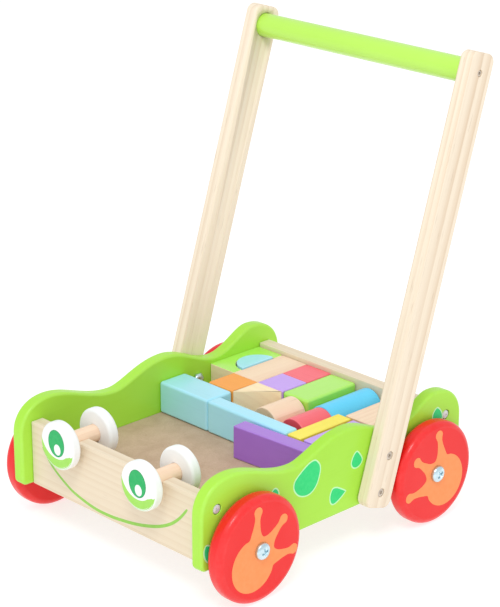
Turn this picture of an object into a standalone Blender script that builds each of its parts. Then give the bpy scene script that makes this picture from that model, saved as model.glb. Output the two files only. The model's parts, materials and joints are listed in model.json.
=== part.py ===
"""Baby walker: a wooden push cart with a wavy green frame, a leaning handle, four red wheels,
two lift-out spool eyes and a tray part filled with building blocks.

Frame: metres, +Z up, the floor at z = 0. The cart faces -Y, +X is to the right seen from the front.
Lengths along the cart are first measured from the front edge of the side panels (y = 0 there); one
parent empty then moves everything so that the origin is under the middle of the whole cart.
"""
import math

import bmesh
import bpy
from mathutils import Matrix

# ---- driving dimensions (metres) -----------------------------------------------------------------
GAP = 0.0003                    # left between pieces that touch or are cut by each other

PANEL_HALF_WIDTH = 0.1287       # centre line to a side panel's outer face
PANEL_THICK = 0.0135
PANEL_LENGTH = 0.334
PANEL_BOTTOM = 0.039
PANEL_EDGE = 0.003              # rounding of the panel's long edges
PANEL_CORNER = 0.006            # radius of its two lower corners in side view

BOARD_THICK = 0.0136
BOARD_INSET = 0.0118            # from the panel's end to the board's outer face
BOARD_BOTTOM = 0.0394
BOARD_TOP = 0.1019
REAR_BOARD_TOP = 0.1008
REAR_BOARD_INSET = 0.0146       # the rear board sits a little further in
BOARD_EDGE = 0.0015
FLOOR_TOP = 0.0640
FLOOR_THICK = 0.0045

WHEEL_RADIUS = 0.050
WHEEL_THICK = 0.0178
WHEEL_EDGE = 0.0052
WHEEL_STANDOFF = 0.0009         # between the panel and the wheel
AXLE_FRONT = 0.0530
AXLE_REAR = 0.2805
AXLE_RADIUS = 0.0040
AXLE_HEAD_RADIUS = 0.0080
AXLE_HEAD_HEIGHT = 0.0048
AXLE_NUT_FLANGE = 0.0090        # radius of the nut's flange, against the panel's inner face
AXLE_NUT_PLATE = 0.0014
AXLE_NUT_BARREL = 0.0053
AXLE_NUT_DEPTH = 0.0075

POST_LEAN = math.radians(17.55)
POST_WIDTH = 0.0334
POST_THICK = 0.0137
POST_LENGTH = 0.4222
POST_FOOT = (0.2052, 0.0373)    # y and z of the middle of its lower end
POST_CORNER = 0.0085
POST_EDGE = 0.0025
POST_BOLTS = (0.0151, 0.0502)   # along the post from its lower end
BAR_STATION = 0.4034            # the handle bar's axis, along the post
BAR_RADIUS = 0.01145
BAR_SOCKET = 0.0050             # how deep the bar's ends go into the posts

BOLT_HEAD_RADIUS = 0.0045
BOLT_HEAD_THICK = 0.0022
BOLT_SUNK = 0.0004              # bolt head below the post's outer face
BOLT_RADIUS = 0.0029
BAR_BOLT_REACH = 0.0260         # how far the bar's bolt goes into the bar
NUT_RADIUS = 0.0068
NUT_HEIGHT = 0.0045
NUT_FLOOR = 0.3                 # closed end of the domed nut, as a share of its height
BOLT_IN_NUT = 0.6               # how much of the nut's height the bolt fills

SCREW_HEIGHT = 0.0942
SCREW_HEAD_RADIUS = 0.0047
SCREW_HEAD_HEIGHT = 0.0022
SCREW_RADIUS = 0.0020
SCREW_REACH = 0.0200            # into the board's end

EYE_X = 0.0574
EYE_Z = 0.1000
EYE_RADIUS = 0.0228
EYE_THICK = 0.0113
EYE_EDGE = 0.0032
EYE_SPAN = 0.0333               # between the two discs' inner faces
EYE_AXLE_RADIUS = 0.0084
EYE_SOCKET = 0.0050             # how deep the axle goes into each disc
EYE_FRONT = {"left": -0.0053, "right": -0.0091}   # y of the front disc's face: each eye sits slid a little

BLOCK = 0.0336                  # width and depth of a cube block
BLOCK_TALL = 0.0325
BLOCK_PITCH = 0.0339
BLOCK_EDGE = 0.0014
PLANK = 0.0168                  # thickness of a half-width block
ROUND_RADIUS = 0.0163           # cylinder blocks
ROUND_LENGTH = 0.0400
ARCH_NOTCH = 0.0224             # radius of the arch block's notch
ARCH_FILL = 0.0213              # radius of the half-round block in it
FILL_PROUD = 0.0015             # how much taller the half-round block is than the arch
TRIANGLE_EDGE = 0.0003
LIGHT_BLUE_LENGTH = 0.1057      # the two planks that lie across the tray
PURPLE_LENGTH = 0.1000
SIDE_LENGTH = 0.0660            # the two lengthways blocks against the right panel
PURPLE_CORNER = (0.0132, 0.1468)      # blocks that lie off the grid: x and y of the front left corner
PURPLE_TURN = math.radians(3.5)
YELLOW_CORNER = (0.0610, 0.1699)
LILAC_CORNER = (0.0810, 0.1706)
NATURAL_SIDE_CORNER = (0.0684, 0.2394)
NATURAL_ROUND = (0.0037, 0.1970)      # round blocks: x of the axis and y of the front end
RED_ROUND = (0.0414, 0.1971)
BLUE_ROUND = (0.0395, 0.2380)

# ---- worked-out positions ------------------------------------------------------------------------
PANEL_X = PANEL_HALF_WIDTH - PANEL_THICK / 2
PANEL_INNER = PANEL_HALF_WIDTH - PANEL_THICK
BOARD_HALF = PANEL_INNER - GAP
FRONT_BOARD_Y = BOARD_INSET + BOARD_THICK / 2
REAR_BOARD_Y = PANEL_LENGTH - REAR_BOARD_INSET - BOARD_THICK / 2
TRAY_FRONT = BOARD_INSET + BOARD_THICK
TRAY_REAR = PANEL_LENGTH - REAR_BOARD_INSET - BOARD_THICK
WHEEL_X = PANEL_HALF_WIDTH + WHEEL_STANDOFF + WHEEL_THICK / 2
POST_INNER = PANEL_HALF_WIDTH + GAP
POST_X = POST_INNER + POST_THICK / 2
BLOCK_BASE = FLOOR_TOP + GAP
COLUMN_0 = -PANEL_INNER + GAP   # x where the first column of blocks starts
ROW_0 = TRAY_REAR - GAP         # y where the rear row of blocks ends


def post_point(along, across=0.0):
    """y and z of a point on the post: along it from its lower end, and across towards the back."""
    y, z = POST_FOOT
    s, c = math.sin(POST_LEAN), math.cos(POST_LEAN)
    return y + along * s + across * c, z + along * c - across * s


BAR_Y, BAR_Z = post_point(BAR_STATION)
POST_BACK = post_point(POST_LENGTH - POST_CORNER, POST_WIDTH / 2 - POST_CORNER)[0] + POST_CORNER
MIDDLE_Y = (min(EYE_FRONT.values()) + POST_BACK) / 2

PINE = (0.90, 0.78, 0.60)
GREEN = (0.44, 0.83, 0.10)
COLOURS = {
    "green": (GREEN, 0.35, 0.0),
    "pine": (PINE, 0.55, 0.0),
    "hardboard": ((0.53, 0.40, 0.26), 0.7, 0.0),
    "red": ((0.90, 0.05, 0.05), 0.3, 0.0),
    "zinc": ((0.72, 0.74, 0.76), 0.3, 1.0),
    "white": ((0.92, 0.92, 0.90), 0.35, 0.0),
    "light_blue": ((0.42, 0.79, 0.90), 0.4, 0.0),
    "bright_blue": ((0.13, 0.60, 0.93), 0.4, 0.0),
    "purple": ((0.38, 0.16, 0.56), 0.4, 0.0),
    "lilac": ((0.60, 0.38, 0.86), 0.4, 0.0),
    "coral": ((0.88, 0.15, 0.17), 0.4, 0.0),
    "orange": ((0.95, 0.42, 0.09), 0.4, 0.0),
    "yellow": ((0.98, 0.83, 0.09), 0.4, 0.0),
}
RIGHT, LEFT = 1, -1
SIDES = (("right", RIGHT), ("left", LEFT))


# ---- helpers -------------------------------------------------------------------------------------
def clear_scene():
    for obj in list(bpy.data.objects):
        bpy.data.objects.remove(obj, do_unlink=True)


def make_collection(name):
    collection = bpy.data.collections.new(name)
    bpy.context.scene.collection.children.link(collection)
    return collection


def make_materials():
    made = {}
    for name, (colour, roughness, metallic) in COLOURS.items():
        material = bpy.data.materials.new(name)
        material.use_nodes = True
        shader = material.node_tree.nodes["Principled BSDF"]
        shader.inputs["Base Color"].default_value = (*colour, 1.0)
        shader.inputs["Roughness"].default_value = roughness
        shader.inputs["Metallic"].default_value = metallic
        made[name] = material
    return made


def add_object(name, mesh, location, material=None, rotation=(0, 0, 0)):
    """Link a mesh as a piece of the walker, or as a cutter when it has no material."""
    obj = bpy.data.objects.new(name, mesh)
    obj.location = location
    obj.rotation_euler = rotation
    obj.parent = ORIGIN
    if material is None:
        CUTTERS.objects.link(obj)
        obj.hide_render = True
        obj.display_type = "WIRE"
    else:
        PIECES.objects.link(obj)
        if not mesh.materials:
            mesh.materials.append(MATERIALS[material])
    return obj


def round_edges(obj, width, segments=2, angle=35):
    bevel = obj.modifiers.new("rounded_edges", "BEVEL")
    bevel.width = width
    bevel.segments = segments
    bevel.limit_method = "ANGLE"
    bevel.angle_limit = math.radians(angle)
    bevel.use_clamp_overlap = True


def cut(obj, cutter):
    boolean = obj.modifiers.new("cut", "BOOLEAN")
    boolean.operation = "DIFFERENCE"
    boolean.solver = "EXACT"
    boolean.object = cutter


def smooth(mesh, angle=40):
    mesh.shade_smooth()
    mesh.set_sharp_from_angle(angle=math.radians(angle))


def box_mesh(name, size):
    mesh = bpy.data.meshes.new(name)
    bm = bmesh.new()
    bmesh.ops.create_cube(bm, size=1.0)
    bmesh.ops.scale(bm, vec=size, verts=bm.verts)
    bm.to_mesh(mesh)
    bm.free()
    return mesh


def cylinder_mesh(name, rods):
    """One mesh of separate cylinders: each rod is (axis letter, centre, radius, length, sides)."""
    turns = {"x": Matrix.Rotation(math.pi / 2, 4, "Y"), "y": Matrix.Rotation(math.pi / 2, 4, "X"),
             "z": Matrix.Identity(4)}
    mesh = bpy.data.meshes.new(name)
    bm = bmesh.new()
    for axis, centre, radius, length, sides in rods:
        bmesh.ops.create_cone(bm, cap_ends=True, segments=sides, radius1=radius, radius2=radius,
                              depth=length, matrix=Matrix.Translation(centre) @ turns[axis])
    bm.to_mesh(mesh)
    bm.free()
    return mesh


def turned(name, profile, steps, location, material, rotation, closed=False):
    """A piece turned about its own Z from a half profile of (radius, height), outer side downwards."""
    mesh = bpy.data.meshes.new(name)
    count = len(profile)
    edges = [(i, (i + 1) % count) for i in range(count if closed else count - 1)]
    mesh.from_pydata([(r, 0.0, z) for r, z in profile], edges, [])
    obj = add_object(name, mesh, location, material, rotation)
    screw = obj.modifiers.new("turned", "SCREW")
    screw.axis = "Z"
    screw.steps = steps
    screw.render_steps = steps
    screw.use_merge_vertices = True
    screw.merge_threshold = 0.00001
    screw.use_smooth_shade = True
    return obj


def share(name, source, location, rotation):
    """Another piece with the same mesh and the same modifiers as an earlier one."""
    obj = add_object(name, source.data, location, source.data.materials[0].name, rotation)
    for old in source.modifiers:
        new = obj.modifiers.new(old.name, old.type)
        new.axis = old.axis
        new.steps = old.steps
        new.render_steps = old.render_steps
        new.use_merge_vertices = old.use_merge_vertices
        new.merge_threshold = old.merge_threshold
        new.use_smooth_shade = old.use_smooth_shade
    return obj


def arc(centre, radius, start, end, count):
    """Points on an arc, angles in degrees, both ends included."""
    angles = [math.radians(start + (end - start) * i / count) for i in range(count + 1)]
    return [(centre[0] + radius * math.cos(a), centre[1] + radius * math.sin(a)) for a in angles]


def wave(start, end, lean_start, lean_end, count):
    """A swell between two level points; the leans set how far it stays level at each end."""
    points = []
    for i in range(1, count + 1):
        t = i / count
        weights = ((1 - t) ** 3, 3 * t * (1 - t) ** 2, 3 * t * t * (1 - t), t ** 3)
        along = (start[0], start[0] + lean_start, end[0] - lean_end, end[0])
        up = (start[1], start[1], end[1], end[1])
        points.append((sum(w * a for w, a in zip(weights, along)),
                       sum(w * u for w, u in zip(weights, up))))
    return points


def plate_mesh(name, outline, thickness):
    """A flat plate standing in the YZ plane: its outline is (y, z) points, its thickness is along X."""
    curve = bpy.data.curves.new(name, "CURVE")
    curve.dimensions = "2D"
    curve.fill_mode = "BOTH"
    curve.extrude = thickness / 2
    spline = curve.splines.new("POLY")
    spline.points.add(len(outline) - 1)
    for point, (y, z) in zip(spline.points, outline):
        point.co = (y, z, 0.0, 1.0)
    spline.use_cyclic_u = True
    holder = bpy.data.objects.new(name + "_outline", curve)
    CUTTERS.objects.link(holder)
    evaluated = holder.evaluated_get(bpy.context.evaluated_depsgraph_get())
    mesh = bpy.data.meshes.new_from_object(evaluated)
    bpy.data.objects.remove(holder, do_unlink=True)
    mesh.name = name
    bm = bmesh.new()
    bm.from_mesh(mesh)
    bmesh.ops.remove_doubles(bm, verts=bm.verts, dist=0.00001)
    bmesh.ops.dissolve_limit(bm, angle_limit=math.radians(0.2), verts=bm.verts, edges=bm.edges)
    stand_up = Matrix(((0, 0, 1, 0), (1, 0, 0, 0), (0, 1, 0, 0), (0, 0, 0, 1)))
    bmesh.ops.transform(bm, matrix=stand_up, verts=bm.verts)
    bmesh.ops.recalc_face_normals(bm, faces=bm.faces)
    bm.to_mesh(mesh)
    bm.free()
    return mesh


# ---- the frame -----------------------------------------------------------------------------------
def panel_outline():
    """Side view of a panel: three swells on top, a round front and back, small lower corners."""
    front_peak, valley_1, peak_2 = (0.0360, 0.1208), (0.1140, 0.1029), (0.1810, 0.1198)
    valley_2, rear_peak = (0.2450, 0.1018), (0.2970, 0.1213)
    front_rise, rear_fall = 0.0880, 0.0885
    points = arc((PANEL_CORNER, PANEL_BOTTOM + PANEL_CORNER), PANEL_CORNER, 270, 180, 3)
    points += quarter((0.0, front_rise), front_peak, 8)
    points += wave(front_peak, valley_1, 0.026, 0.029, 8)
    points += wave(valley_1, peak_2, 0.018, 0.031, 7)
    points += wave(peak_2, valley_2, 0.024, 0.021, 7)
    points += wave(valley_2, rear_peak, 0.021, 0.015, 6)
    points += quarter((PANEL_LENGTH, rear_fall), rear_peak, 8)[::-1][1:]
    points += arc((PANEL_LENGTH - PANEL_CORNER, PANEL_BOTTOM + PANEL_CORNER), PANEL_CORNER, 0, -90, 3)
    return points


def quarter(side, top, count):
    """A full, slightly squared quarter round from a point on an upright edge to a level top."""
    squareness = 2.2
    points = []
    for i in range(count + 1):
        a = math.pi / 2 * i / count
        y = top[0] + (side[0] - top[0]) * math.cos(a) ** (2 / squareness)
        z = side[1] + (top[1] - side[1]) * math.sin(a) ** (2 / squareness)
        points.append((y, z))
    return points


def side_panels():
    axle_hole = AXLE_RADIUS + GAP
    mesh = plate_mesh("side_panel", panel_outline(), PANEL_THICK)
    smooth(mesh)
    through = 2 * PANEL_THICK
    for side, sign in SIDES:
        panel = add_object("side_panel_" + side, mesh, (sign * PANEL_X, 0, 0), "green")
        round_edges(panel, PANEL_EDGE)
        rods = []
        for y in (AXLE_FRONT, AXLE_REAR):
            rods.append(("x", (0, y, WHEEL_RADIUS), axle_hole, through, 16))
        for station in POST_BOLTS:
            rods.append(("x", (0, *post_point(station)), BOLT_RADIUS + GAP, through, 12))
        for y in (FRONT_BOARD_Y, REAR_BOARD_Y):
            rods.append(("x", (0, y, SCREW_HEIGHT), SCREW_RADIUS + GAP, through, 12))
        holes = add_object("panel_holes_" + side, cylinder_mesh("panel_holes", rods),
                           (sign * PANEL_X, 0, 0))
        cut(panel, holes)
        depth = AXLE_NUT_DEPTH + GAP
        rods = [("x", (0, y, WHEEL_RADIUS), AXLE_NUT_BARREL + GAP, 2 * depth, 20)
                for y in (AXLE_FRONT, AXLE_REAR)]
        pockets = add_object("nut_pockets_" + side, cylinder_mesh("nut_pockets", rods),
                             (sign * PANEL_INNER, 0, 0))
        cut(panel, pockets)


def end_boards():
    for name, y, top in (("front_board", FRONT_BOARD_Y, BOARD_TOP), ("rear_board", REAR_BOARD_Y, REAR_BOARD_TOP)):
        size = (2 * BOARD_HALF, BOARD_THICK, top - BOARD_BOTTOM)
        middle = (top + BOARD_BOTTOM) / 2
        board = add_object(name, box_mesh(name, size), (0, y, middle), "pine")
        round_edges(board, BOARD_EDGE)
        reach = SCREW_REACH + GAP
        rods = [("x", (sign * BOARD_HALF, 0, SCREW_HEIGHT - middle), SCREW_RADIUS + GAP, 2 * reach, 12)
                for _, sign in SIDES]
        holes = add_object(name + "_screw_holes", cylinder_mesh("screw_holes", rods), (0, y, middle))
        cut(board, holes)
        if name == "front_board":
            cut(board, eye_notches(y))


def eye_notches(board_y):
    """Two U-shaped notches: a round bottom under the eye axle, straight sides above it."""
    raise_top = 0.02
    rods = [("y", (sign * EYE_X, 0, 0), EYE_AXLE_RADIUS + GAP, 2 * BOARD_THICK, 24)
            for _, sign in SIDES]
    mesh = cylinder_mesh("eye_notches", rods)
    for vertex in mesh.vertices:
        if vertex.co.z > GAP:
            vertex.co.z += raise_top
    return add_object("eye_notches", mesh, (0, board_y, EYE_Z))


def floor_board():
    size = (2 * BOARD_HALF, TRAY_REAR - TRAY_FRONT - 2 * GAP, FLOOR_THICK)
    centre = (0, (TRAY_REAR + TRAY_FRONT) / 2, FLOOR_TOP - FLOOR_THICK / 2)
    add_object("floor_board", box_mesh("floor_board", size), centre, "hardboard")


def handle_posts():
    half, r = POST_WIDTH / 2, POST_CORNER
    top = POST_LENGTH - r
    outline = arc((half - r, top), r, 0, 90, 4) + arc((r - half, top), r, 90, 180, 4)
    outline += arc((r - half, r), r, 180, 270, 4) + arc((half - r, r), r, 270, 360, 4)
    mesh = plate_mesh("handle_post", outline, POST_THICK)
    smooth(mesh)
    sink = BOLT_HEAD_THICK + BOLT_SUNK + GAP
    for side, sign in SIDES:
        where = (sign * POST_X, *POST_FOOT)
        lean = (-POST_LEAN, 0, 0)
        post = add_object("handle_post_" + side, mesh, where, "pine", lean)
        round_edges(post, POST_EDGE)
        stations = (*POST_BOLTS, BAR_STATION)
        rods = [("x", (0, 0, s), BOLT_RADIUS + GAP, 2 * POST_THICK, 12) for s in stations]
        cut(post, add_object("post_holes_" + side, cylinder_mesh("post_holes", rods), where, None, lean))
        face = sign * POST_THICK / 2
        rods = [("x", (face, 0, s), BOLT_HEAD_RADIUS + GAP, 2 * sink, 20) for s in stations]
        rods.append(("x", (-face, 0, BAR_STATION), BAR_RADIUS + GAP, 2 * (BAR_SOCKET + GAP), 32))
        cut(post, add_object("post_sinks_" + side, cylinder_mesh("post_sinks", rods), where, None, lean))


def handle_bar():
    length = 2 * (POST_INNER + BAR_SOCKET)
    mesh = cylinder_mesh("handle_bar", [("x", (0, 0, 0), BAR_RADIUS, length, 32)])
    smooth(mesh)
    bar = add_object("handle_bar", mesh, (0, BAR_Y, BAR_Z), "green")
    reach = BAR_BOLT_REACH + GAP
    rods = [("x", (sign * length / 2, 0, 0), BOLT_RADIUS + GAP, 2 * reach, 12) for _, sign in SIDES]
    cut(bar, add_object("bar_bolt_holes", cylinder_mesh("bar_bolt_holes", rods), (0, BAR_Y, BAR_Z)))


# ---- wheels and fasteners ------------------------------------------------------------------------
def outward(sign):
    """Rotation that points a turned piece's own Z away from the cart's middle."""
    return (0, sign * math.pi / 2, 0)


def rounded_rim(radius, half, edge, count):
    """The outer half profile of a disc, from its top face down to its bottom face."""
    return (arc((radius - edge, half - edge), edge, 90, 0, count)
            + arc((radius - edge, edge - half), edge, 0, -90, count))


def wheels():
    bore, half = AXLE_RADIUS + GAP, WHEEL_THICK / 2
    wheel_profile = rounded_rim(WHEEL_RADIUS, half, WHEEL_EDGE, 3) + [(bore, -half), (bore, half)]
    stem = WHEEL_THICK + WHEEL_STANDOFF + PANEL_THICK
    bolt_profile = dome(AXLE_HEAD_RADIUS, AXLE_HEAD_HEIGHT, 3)
    bolt_profile += [(AXLE_RADIUS, 0), (AXLE_RADIUS, -stem), (0, -stem)]
    barrel, plate = AXLE_NUT_BARREL, AXLE_NUT_PLATE
    nut_profile = [(barrel, AXLE_NUT_DEPTH), (barrel, 0), (AXLE_NUT_FLANGE, 0), (AXLE_NUT_FLANGE, -plate),
                   (bore, -plate), (bore, AXLE_NUT_DEPTH)]
    first = None
    for end, y in (("front", AXLE_FRONT), ("rear", AXLE_REAR)):
        for side, sign in SIDES:
            name, turn = "_" + end + "_" + side, outward(sign)
            places = ((sign * WHEEL_X, y, WHEEL_RADIUS),
                      (sign * (WHEEL_X + half + GAP), y, WHEEL_RADIUS),
                      (sign * (PANEL_INNER - GAP), y, WHEEL_RADIUS))
            if first is None:
                first = (turned("wheel" + name, wheel_profile, 32, places[0], "red", turn, True),
                         turned("axle_bolt" + name, bolt_profile, 20, places[1], "zinc", turn),
                         turned("axle_nut" + name, nut_profile, 20, places[2], "zinc", turn, True))
            else:
                for piece, label, place in zip(first, ("wheel", "axle_bolt", "axle_nut"), places):
                    share(label + name, piece, place, turn)


def dome(radius, height, count):
    """A low domed head's profile, from the axis out to its rim, standing on z = 0."""
    lip = height * 0.35
    points = []
    for i in range(count + 1):
        a = math.pi / 2 * i / count
        points.append((radius * math.sin(a), lip + (height - lip) * math.cos(a)))
    return points + [(radius, 0)]


def post_bolts():
    """Two bolts with domed nuts hold each post to its panel, and one bolt each the handle bar."""
    outer = POST_INNER + POST_THICK - BOLT_SUNK
    under_head = -BOLT_HEAD_THICK
    head = [(0, 0), (BOLT_HEAD_RADIUS, 0), (BOLT_HEAD_RADIUS, under_head), (BOLT_RADIUS, under_head)]
    reach = outer - PANEL_INNER + NUT_HEIGHT * BOLT_IN_NUT
    long_profile = head + [(BOLT_RADIUS, -reach), (0, -reach)]
    reach = outer - POST_INNER - BAR_SOCKET + BAR_BOLT_REACH
    bar_profile = head + [(BOLT_RADIUS, -reach), (0, -reach)]
    bore, floor = BOLT_RADIUS + GAP, NUT_HEIGHT * NUT_FLOOR
    nut_profile = [(0, floor), (bore, floor), (bore, NUT_HEIGHT), (NUT_RADIUS, NUT_HEIGHT),
                   (NUT_RADIUS, floor), (NUT_RADIUS * 0.7, 0), (0, 0)]
    first = None
    for side, sign in SIDES:
        for level, station in zip(("lower", "upper"), POST_BOLTS):
            y, z = post_point(station)
            bolt_at, nut_at = (sign * outer, y, z), (sign * (PANEL_INNER - GAP - NUT_HEIGHT), y, z)
            names = ("post_bolt_%s_%s" % (level, side), "post_nut_%s_%s" % (level, side))
            if first is None:
                first = (turned(names[0], long_profile, 16, bolt_at, "zinc", outward(sign)),
                         turned(names[1], nut_profile, 16, nut_at, "zinc", outward(sign)))
            else:
                share(names[0], first[0], bolt_at, outward(sign))
                share(names[1], first[1], nut_at, outward(sign))
    bar_bolt = turned("bar_bolt_right", bar_profile, 16, (outer, BAR_Y, BAR_Z), "zinc", outward(RIGHT))
    share("bar_bolt_left", bar_bolt, (-outer, BAR_Y, BAR_Z), outward(LEFT))


def panel_screws():
    """One domed screw through each panel end into each board's end."""
    reach = PANEL_THICK + GAP + SCREW_REACH
    profile = dome(SCREW_HEAD_RADIUS, SCREW_HEAD_HEIGHT, 3)
    profile += [(SCREW_RADIUS, 0), (SCREW_RADIUS, -reach), (0, -reach)]
    first = None
    for end, y in (("front", FRONT_BOARD_Y), ("rear", REAR_BOARD_Y)):
        for side, sign in SIDES:
            name = "panel_screw_%s_%s" % (end, side)
            place = (sign * (PANEL_HALF_WIDTH + GAP), y, SCREW_HEIGHT)
            if first is None:
                first = turned(name, profile, 16, place, "zinc", outward(sign))
            else:
                share(name, first, place, outward(sign))


# ---- the eyes ------------------------------------------------------------------------------------
def eyes():
    """Each eye is a spool: a round axle in the front board's notch with a disc on each end."""
    half, socket = EYE_THICK / 2, EYE_AXLE_RADIUS + GAP
    face = [(0, half)] + rounded_rim(EYE_RADIUS, half, EYE_EDGE, 3)
    depth = EYE_SOCKET + GAP
    profile = face + [(socket, -half), (socket, depth - half), (0, depth - half)]
    to_front, to_back = (math.pi / 2, 0, 0), (-math.pi / 2, 0, 0)
    length = EYE_SPAN + 2 * EYE_SOCKET
    axle_mesh = cylinder_mesh("eye_axle", [("y", (0, 0, 0), EYE_AXLE_RADIUS, length, 24)])
    smooth(axle_mesh)
    first = None
    for side, sign in SIDES:
        x, front = sign * EYE_X, EYE_FRONT[side]
        middle = front + EYE_THICK + EYE_SPAN / 2
        add_object("eye_axle_" + side, axle_mesh, (x, middle, EYE_Z), "pine")
        front_at = (x, front + half, EYE_Z)
        rear_at = (x, front + EYE_THICK + EYE_SPAN + half, EYE_Z)
        if first is None:
            first = turned("eye_front_disc_" + side, profile, 28, front_at, "white", to_front)
        else:
            share("eye_front_disc_" + side, first, front_at, to_front)
        share("eye_rear_disc_" + side, first, rear_at, to_back)


# ---- the building blocks -------------------------------------------------------------------------
def column(index):
    return COLUMN_0 + index * BLOCK_PITCH


def row(index):
    return ROW_0 - index * BLOCK_PITCH


def brick(name, material, corner, size, turn=0.0):
    """A square-cut block standing on the tray floor, placed by its front left corner."""
    x, y = corner
    w, d, h = size
    obj = add_object(name, box_mesh(name, size), (0, 0, 0), material, (0, 0, turn))
    c, s = math.cos(turn), math.sin(turn)
    obj.location = (x + c * w / 2 - s * d / 2, y + s * w / 2 + c * d / 2, BLOCK_BASE + h / 2)
    round_edges(obj, BLOCK_EDGE, 1)
    return obj


def round_block(name, material, x, front, radius, length):
    mesh = cylinder_mesh(name, [("y", (0, 0, 0), radius, length, 28)])
    smooth(mesh)
    obj = add_object(name, mesh, (x, front + length / 2, BLOCK_BASE + radius), material)
    round_edges(obj, BLOCK_EDGE, 1, 60)
    return obj


def upright_mesh(name, outline, height):
    """A plate lying flat: its outline is (x, y) points and its thickness is along Z."""
    mesh = plate_mesh(name, outline, height)
    mesh.transform(Matrix(((0, 1, 0, 0), (0, 0, 1, 0), (1, 0, 0, 0), (0, 0, 0, 1))))
    return mesh


def square_blocks():
    double = BLOCK_PITCH + BLOCK
    tall = BLOCK_TALL
    cube, long_y = (BLOCK, BLOCK, tall), (BLOCK, double, tall)
    brick("block_light_blue_long", "light_blue", (column(0), row(4)), (double, BLOCK, tall))
    brick("block_light_blue_plank", "light_blue", (column(2), row(4)), (LIGHT_BLUE_LENGTH, PLANK, tall))
    brick("block_purple_plank", "purple", PURPLE_CORNER, (PURPLE_LENGTH, PLANK, tall), PURPLE_TURN)
    brick("block_natural_long", "pine", (column(1), row(2)), long_y)
    brick("block_orange_cube", "orange", (column(1), row(3)), cube)
    brick("block_lilac_cube", "lilac", (column(2), row(2)), cube)
    brick("block_red_cube", "coral", (column(2), row(1)), cube)
    brick("block_green_long", "green", (column(3), row(2)), long_y)
    brick("block_yellow_plank", "yellow", YELLOW_CORNER, (PLANK, double, tall))
    brick("block_lilac_plank", "lilac", LILAC_CORNER, (PLANK, SIDE_LENGTH, tall))
    brick("block_natural_long_side", "pine", NATURAL_SIDE_CORNER, (BLOCK, SIDE_LENGTH - GAP, tall))


def round_blocks():
    for name, material, (x, front), length in (
            ("block_natural_cylinder", "pine", NATURAL_ROUND, ROUND_LENGTH),
            ("block_red_cylinder", "coral", RED_ROUND, ROUND_LENGTH - GAP),
            ("block_blue_cylinder", "bright_blue", BLUE_ROUND, SIDE_LENGTH)):
        round_block(name, material, x, front, ROUND_RADIUS, length)


def arch_and_half_round():
    """The arch lies on its side, its notch open to +X, with the half-round block inside it."""
    half_w, half_l = BLOCK / 2, (BLOCK_PITCH + BLOCK) / 2
    centre_y = row(2) + half_l
    notch = arc((half_w, 0), ARCH_NOTCH, 270, 90, 14)
    outline = [(half_w, half_l), (-half_w, half_l), (-half_w, -half_l), (half_w, -half_l)] + notch
    mesh = upright_mesh("block_green_arch", outline, BLOCK_TALL)
    middle_z = BLOCK_BASE + BLOCK_TALL / 2
    arch = add_object("block_green_arch", mesh, (column(0) + half_w, centre_y, middle_z), "green")
    round_edges(arch, BLOCK_EDGE / 2, 1)
    tall = BLOCK_TALL + FILL_PROUD
    mesh = upright_mesh("block_light_blue_half_round", arc((0, 0), ARCH_FILL, 270, 90, 14), tall)
    fill = add_object("block_light_blue_half_round", mesh,
                      (column(0) + BLOCK - GAP, centre_y, BLOCK_BASE + tall / 2), "light_blue")
    round_edges(fill, BLOCK_EDGE / 2, 1)


def triangle_block():
    half = BLOCK / 2
    mesh = upright_mesh("block_natural_triangle", [(-half, -half), (half, half), (-half, half)], BLOCK_TALL)
    block = add_object("block_natural_triangle", mesh,
                       (column(2) + half, row(3) + half, BLOCK_BASE + BLOCK_TALL / 2), "pine")
    round_edges(block, TRIANGLE_EDGE, 1)


clear_scene()
PIECES = make_collection("baby_walker")
CUTTERS = make_collection("cutters")
MATERIALS = make_materials()
ORIGIN = bpy.data.objects.new("walker_origin", None)
ORIGIN.location = (0, -MIDDLE_Y, 0)
PIECES.objects.link(ORIGIN)

side_panels()
end_boards()
floor_board()
handle_posts()
handle_bar()
wheels()
post_bolts()
panel_screws()
eyes()
square_blocks()
round_blocks()
arch_and_half_round()
triangle_block()
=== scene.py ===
"""Looks for the wooden baby walker: rounded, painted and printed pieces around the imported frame."""
import json
from math import atan2, cos, degrees, dist, pi, radians, sin, sqrt, tan

import bmesh
import bpy
from mathutils import Matrix, Vector


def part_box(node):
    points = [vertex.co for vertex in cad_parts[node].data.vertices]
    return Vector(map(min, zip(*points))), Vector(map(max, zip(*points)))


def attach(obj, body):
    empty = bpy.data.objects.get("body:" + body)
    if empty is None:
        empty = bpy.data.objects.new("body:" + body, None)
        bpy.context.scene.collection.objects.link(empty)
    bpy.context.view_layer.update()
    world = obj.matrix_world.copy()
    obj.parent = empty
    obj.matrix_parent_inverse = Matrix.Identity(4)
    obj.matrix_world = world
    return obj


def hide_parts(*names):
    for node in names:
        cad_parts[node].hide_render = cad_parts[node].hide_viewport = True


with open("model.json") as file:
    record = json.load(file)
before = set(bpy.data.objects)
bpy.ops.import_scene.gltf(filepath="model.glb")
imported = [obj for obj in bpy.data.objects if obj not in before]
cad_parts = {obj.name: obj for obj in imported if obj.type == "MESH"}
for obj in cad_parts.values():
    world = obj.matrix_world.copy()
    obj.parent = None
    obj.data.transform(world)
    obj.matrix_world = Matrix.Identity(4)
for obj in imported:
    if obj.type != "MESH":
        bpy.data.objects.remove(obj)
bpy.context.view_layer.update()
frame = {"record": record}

RECORD = frame["record"]
BODY_OF = {node: body for body, nodes in RECORD["behaviour"]["bodies"].items() for node in nodes}
SLOT_OF = {part["node"]: part["material_slot"] for part in RECORD["subparts"]}
RIGHT, LEFT = 1, -1
SIDES = (("right", RIGHT), ("left", LEFT))
ENDS = ("front", "rear")

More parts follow.
